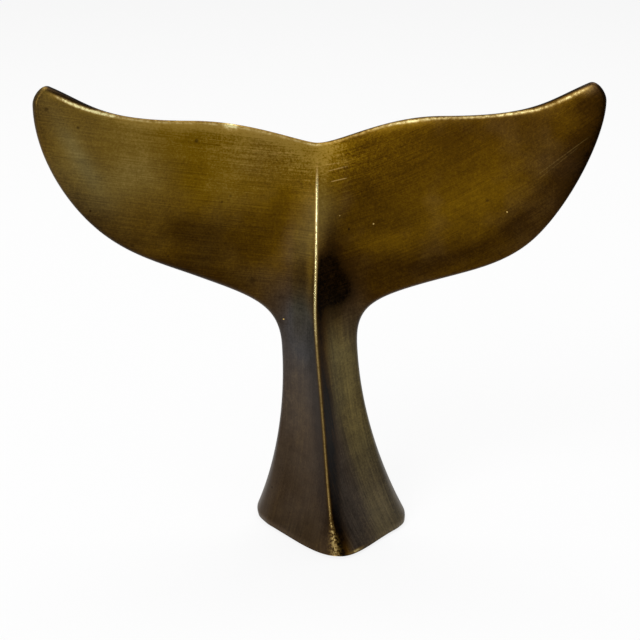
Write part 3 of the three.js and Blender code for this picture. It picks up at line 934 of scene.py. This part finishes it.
class Nodes:
    """Builds a node material in few lines. A value is a number, a colour, a socket, or a node that
    stands for its first output."""

    def __init__(self, name):
        self.material = bpy.data.materials.new(name)
        self.material.use_nodes = True
        self.tree = self.material.node_tree
        self.tree.nodes.clear()
        self.output = self.add("OutputMaterial")

    def add(self, kind, inputs=None, **settings):
        node = self.tree.nodes.new("ShaderNode" + kind)
        for key, value in settings.items():
            setattr(node, key, value)
        for key, value in (inputs or {}).items():
            self.put(node.inputs[key], value)
        return node

    def put(self, socket, value):
        if isinstance(value, bpy.types.NodeSocket):
            self.tree.links.new(value, socket)
        elif isinstance(value, bpy.types.Node):
            self.tree.links.new(value.outputs[0], socket)
        else:
            socket.default_value = value

    def ended_with(self, kind, inputs):
        """The finished material, with a shader on its surface."""
        self.put(self.output.inputs["Surface"], self.add(kind, inputs))
        return self.material

    def surfaced(self, colour, roughness, relief, more):
        """The finished material, with the standard shader."""
        inputs = {"Base Color": colour, "Roughness": roughness, "Normal": relief, **more}
        return self.ended_with("BsdfPrincipled", inputs)

    def chain(self, operation, values, clamp=False):
        """Joins values from left to right. A clamped result stays from 0 to 1."""
        result = values[0]
        for value in values[1:]:
            node = self.add("Math", {0: result, 1: value}, operation=operation)
            result = node.outputs[0]
        node.use_clamp = clamp
        return result

    def plus(self, *values, clamp=False):
        return self.chain("ADD", values, clamp)

    def times(self, *values, clamp=False):
        return self.chain("MULTIPLY", values, clamp)

    def minus(self, a, b):
        return self.chain("SUBTRACT", (a, b))

    def over(self, a, b):
        return self.chain("DIVIDE", (a, b))

    def largest(self, *values):
        return self.chain("MAXIMUM", values)

    def smallest(self, *values):
        return self.chain("MINIMUM", values)

    def size(self, value):
        return self.add("Math", {0: value}, operation="ABSOLUTE").outputs[0]

    def signed(self, noise, amount):
        """A noise turned so that it lightens and darkens alike, by an amount."""
        return self.times(self.minus(noise, 0.5), amount)

    def ramp(self, value, low, high, to_low=0.0, to_high=1.0):
        """Maps a value from one range to another with a smooth step."""
        inputs = {"From Min": low, "From Max": high, "To Min": to_low, "To Max": to_high}
        inputs["Value"] = value
        return self.add("MapRange", inputs, interpolation_type="SMOOTHSTEP").outputs[0]

    def mixed(self, share, a, b):
        return self.add("Mix", {0: share, 2: a, 3: b}).outputs[0]

    def blend(self, share, a, b):
        """Mixes two colours."""
        return self.add("Mix", {0: share, 6: a, 7: b}, data_type="RGBA").outputs[2]

    def colours(self, value, stops):
        """A colour that changes evenly from each stop to the next."""
        node = self.add("ValToRGB", {"Fac": value})
        elements = node.color_ramp.elements
        while len(elements) < len(stops):
            elements.new(0.5)
        for element, (position, colour) in zip(elements, stops):
            element.position = position
            element.color = linear(*colour)
        return node.outputs[0]

    def field(self, name):
        return self.add("Attribute", attribute_name=name).outputs["Fac"]

    def object_place(self):
        return self.add("TexCoord").outputs["Object"]

    def vector(self, x, y, z):
        return self.add("CombineXYZ", {0: x, 1: y, 2: z}).outputs[0]

    def split(self, vector):
        return self.add("SeparateXYZ", {0: vector}).outputs

    def noise(self, vector, scale, detail, roughness):
        inputs = {"Vector": vector, "Scale": scale, "Detail": detail, "Roughness": roughness}
        return self.add("TexNoise", inputs).outputs[0]

    def cells(self, vector, scale):
        return self.add("TexVoronoi", {"Vector": vector, "Scale": scale}).outputs

    def relief(self, height, strength, depth):
        inputs = {"Strength": strength, "Distance": depth, "Height": height}
        return self.add("Bump", inputs)


class Bronze(Nodes):
    """The casting's material. Its places are in millimetres, as the front shows them."""

    def __init__(self):
        super().__init__("antique_bronze")
        self.place = self.object_place()
        metres = self.split(self.place)
        self.x = self.times(metres[0], 1 / MM)
        self.z = self.times(metres[2], 1 / MM)
        self.front = self.field("front")
        self.cloud = self.noise(self.place, *CLOUD)
        self.mottle = self.noise(self.place, *MOTTLE)
        self.grain = self.noise(self.place, *GRAIN)
        beside = self.field("stroke_across")
        fluke_strokes = self.strokes(FLUKE_STROKES, self.x, beside)
        stock_strokes = self.strokes(STOCK_STROKES, self.z, self.field("stock_across"))
        self.fine = self.mixed(self.field("on_stock"), fluke_strokes, stock_strokes)
        self.swathes = self.strokes(FLUKE_SWATHES, self.x, beside)

    def strokes(self, kind, along, beside):
        """Noise that is long one way and short the other."""
        length, width, shift, detail = kind
        depth = self.plus(self.times(self.front, FACE_SHIFT), shift)
        place = self.vector(self.over(along, length), self.over(beside, width), depth)
        return self.noise(place, 1, detail, STROKE_ROUGHNESS)

    def tone(self):
        """How light the metal is, broken up by clouds, brush strokes and grain."""
        strokes = self.plus(
            self.signed(self.fine, STROKE_AMOUNT), self.signed(self.swathes, SWATHE_AMOUNT)
        )
        grit = self.plus(
            self.signed(self.grain, GRAIN_AMOUNT),
            self.signed(self.noise(self.place, *DUST), DUST_AMOUNT),
        )
        return self.plus(
            self.field("tone"),
            self.signed(self.cloud, CLOUD_AMOUNT),
            self.signed(self.mottle, MOTTLE_AMOUNT),
            self.times(strokes, self.field("brushed")),
            self.times(grit, self.field("coarse")),
        )

    def patina_and_painted_light(self, film_and_sheen):
        """The metal's colour with its film and painted sheen, from a tone that holds painted light
        and shade.
        """
        tone = self.tone()
        bluish, olive = self.colours(tone, FILM_AND_SHEEN_TONES), self.colours(tone, OLIVE_TONES)
        film_and_sheen_colour = self.blend(self.field("olive"), bluish, olive)
        return self.blend(film_and_sheen, self.colours(tone, METAL_TONES), film_and_sheen_colour)

    def from_spot(self, x_mm, z_mm):
        seen = self.vector(self.x, 0, self.z)
        spot = {0: seen, 1: (x_mm, 0, z_mm)}
        return self.add("VectorMath", spot, operation="DISTANCE").outputs["Value"]

    def pits(self):
        """1 on sound metal, less in the listed pits. Only the front has them."""
        sound = 1
        for x_mm, z_mm, radius in PITS:
            ragged = self.plus(self.from_spot(x_mm, z_mm), self.signed(self.mottle, PIT_RAGGEDNESS))
            pit = self.ramp(ragged, radius * PIT_CORE, radius * PIT_RIM, PIT_DARKEST)
            sound = self.smallest(sound, pit)
        return self.largest(sound, self.minus(1, self.front))

    def pinholes(self):
        """1 on sound metal, 0 in the tiny holes that about one cell in six has."""
        cells = self.cells(self.place, PINHOLE_CELLS)
        sound = self.ramp(cells["Distance"], PINHOLE_CORE, PINHOLE_RIM)
        chosen = self.ramp(self.split(cells["Color"])[0], *PINHOLE_CHANCE)
        return self.minus(1, self.times(self.minus(1, sound), chosen))

    def scratch(self, x_mm, z_mm, length, angle, strength):
        c, s = math.cos(math.radians(angle)), math.sin(math.radians(angle))
        dx, dz = self.minus(self.x, x_mm), self.minus(self.z, z_mm)
        along = self.plus(self.times(dx, c), self.times(dz, s))
        beside = self.minus(self.times(dz, c), self.times(dx, s))
        line = self.ramp(self.size(beside), SCRATCH_CORE, SCRATCH_RIM, strength, 0)
        from_middle = self.size(self.minus(along, length / 2))
        inside = self.ramp(from_middle, length * SCRATCH_FADE, length / 2, 1, 0)
        return self.times(line, inside)

    def scratches(self):
        """How bright the scratches and the bright specks are. Only the front has them."""
        marks = 0
        for values in SCRATCHES:
            marks = self.largest(marks, self.scratch(*values))
        for x_mm, z_mm, radius in BRIGHT_SPECKS:
            away = self.from_spot(x_mm, z_mm)
            marks = self.largest(marks, self.ramp(away, radius * SPECK_CORE, radius, 1, 0))
        broken = self.times(self.front, self.ramp(self.grain, *SCRATCH_BREAKS))
        return self.times(marks, broken, clamp=True)

    def worn_ridges(self):
        """The ridges' wear, broken up by grain and, at the foot, by pits."""
        broken = self.ramp(self.grain, *RIDGE_BREAKS)
        wear_and_glints = self.times(self.field("ridge_wear"), broken, clamp=True)
        pits = self.ramp(self.grain, *FOOT_BREAKS)
        return self.times(wear_and_glints, self.blend(self.field("pitted"), WHITE, pits), clamp=True)

    def worn_and_glinting_edges(self):
        broken = self.ramp(self.noise(self.place, *WORN), *EDGE_BREAKS)
        return self.times(self.field("edge_wear_and_glints"), broken, clamp=True)

    def fine_relief(self, sound):
        height = self.plus(
            self.times(self.fine, STROKE_RELIEF),
            self.times(self.mottle, MOTTLE_RELIEF),
            self.times(self.grain, GRAIN_RELIEF),
            self.times(sound, DENT_RELIEF),
        )
        return self.relief(height, RELIEF_STRENGTH, RELIEF_DEPTH)

    def roughness(self, film_and_sheen, ridge_wear):
        strokes = self.signed(self.fine, STROKE_ROUGHENS)
        matt = self.plus(ROUGHNESS, strokes, self.times(film_and_sheen, FILM_AND_SHEEN_ROUGHENS))
        return self.minus(matt, self.times(ridge_wear, WEAR_SMOOTHS))


def bronze_material():
    n = Bronze()
    film_and_sheen = n.plus(n.field("film_and_sheen"), n.signed(n.cloud, FILM_AND_SHEEN_CLOUDS), clamp=True)
    sound = n.times(n.pits(), n.pinholes())
    ridge_wear = n.worn_ridges()
    wear_and_glints = n.largest(ridge_wear, n.worn_and_glinting_edges())
    colour = n.blend(sound, linear(*PIT_COLOUR), n.patina_and_painted_light(film_and_sheen))
    colour = n.blend(wear_and_glints, colour, n.blend(wear_and_glints, linear(*THIN_SHINE), linear(*FULL_SHINE)))
    colour = n.blend(n.scratches(), colour, linear(*SCRATCH_COLOUR))
    roughness = n.roughness(film_and_sheen, ridge_wear)
    return n.surfaced(colour, roughness, n.fine_relief(sound), {"Metallic": 1})


def plaster_material():
    n = Nodes("casting_plaster")
    place = n.object_place()
    cloud = n.noise(place, *PLASTER_CLOUD)
    sound = n.ramp(n.cells(place, PLASTER_CELLS)["Distance"], 0.12, 0.2)
    colour = n.blend(n.ramp(cloud, 0.35, 0.7), linear(*PLASTER_DARK), linear(*PLASTER_LIGHT))
    colour = n.blend(sound, linear(*HOLE_COLOUR), colour)
    return n.surfaced(colour, 0.9, n.relief(n.plus(sound, cloud), 0.4, 0.4 * MM), {})


def felt_material():
    n = Nodes("brown_felt")
    place = n.object_place()
    fibre = n.noise(place, *FIBRE)
    tuft = n.noise(place, *TUFT)
    colour = n.blend(n.ramp(fibre, 0.3, 0.7), linear(*FELT_DARK), linear(*FELT_LIGHT))
    relief = n.relief(n.plus(fibre, tuft), 0.6, 0.3 * MM)
    return n.surfaced(colour, 1, relief, {"Sheen Weight": 0.4})


def floor_material():
    """White as the camera and the metal see it, and still darkened by the object's shadow."""
    n = Nodes("studio_floor")
    path = n.add("LightPath").outputs
    seen = n.largest(path["Is Camera Ray"], path["Is Glossy Ray"], path["Is Transmission Ray"])
    matt = n.add("BsdfDiffuse", {"Color": FLOOR_COLOUR})
    glow = n.add("Emission", {"Color": WHITE})
    return n.ended_with("MixShader", {0: n.times(seen, GLOW_SHARE), 1: matt, 2: glow})


casting.data.materials.append(bronze_material())
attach(casting, "root")
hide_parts("tail_casting")

for node, material in (("ballast_fill", plaster_material()), ("felt_pad", felt_material())):
    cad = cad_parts[node]
    cad.data.materials.clear()
    cad.data.materials.append(material)

# Floor, lamps and camera, in metres. A lamp has its name, place, width and height, and power.
LAMPS = [
    ("key", (-0.65, -0.8, 0.95), (0.8, 0.8), 8.6),
    ("fill", (0.8, -0.8, 0.5), (0.6, 0.6), 1.5),
    ("top", (0, 0.4, 1), (0.9, 0.4), 6),
    ("glint", (-0.22, -1.22, 0.41), (0.14, 0.14), 0.66),
]
LAMPS_AIM = (0, 0, 0.08)
FLOOR_REACH = 6
WORLD_STRENGTH = 0.35
ELEVATION = math.radians(20)
DISTANCE = 0.48
LOOKS_AT = (-0.0033, 0, 0.068)
LENS = 88.4  # millimetres
SENSOR_WIDTH = 36
SHIFT = (-0.0011, -0.0127)


def add_floor():
    a, b = -FLOOR_REACH, FLOOR_REACH
    mesh = bpy.data.meshes.new("floor")
    mesh.from_pydata([(a, a, 0), (b, a, 0), (b, b, 0), (a, b, 0)], [], [(0, 1, 2, 3)])
    mesh.materials.append(floor_material())
    add_object("floor", mesh)


def add_lamp(name, place, size, power):
    data = bpy.data.lights.new(name, "AREA")
    data.shape = "RECTANGLE"
    data.size, data.size_y = size
    data.energy = power
    lamp = add_object(name, data)
    lamp.location = place
    x, y, z = np.array(LAMPS_AIM, float) - np.array(place, float)
    lamp.rotation_euler = (math.atan2(math.hypot(x, y), -z), 0, math.atan2(-x, y))


def add_world():
    world = bpy.data.worlds.new("studio")
    scene.world = world
    world.use_nodes = True
    background = world.node_tree.nodes["Background"]
    background.inputs["Color"].default_value = WHITE
    background.inputs["Strength"].default_value = WORLD_STRENGTH


def add_camera():
    data = bpy.data.cameras.new("camera")
    camera = add_object("camera", data)
    back, up = DISTANCE * math.cos(ELEVATION), DISTANCE * math.sin(ELEVATION)
    camera.location = (LOOKS_AT[0], LOOKS_AT[1] - back, LOOKS_AT[2] + up)
    camera.rotation_euler = (math.pi / 2 - ELEVATION, 0, 0)
    data.sensor_fit = "HORIZONTAL"
    data.sensor_width = SENSOR_WIDTH
    data.lens = LENS
    data.shift_x, data.shift_y = SHIFT
    scene.camera = camera


add_floor()
for lamp in LAMPS:
    add_lamp(*lamp)
add_world()
add_camera()
scene.view_settings.view_transform = "Standard"

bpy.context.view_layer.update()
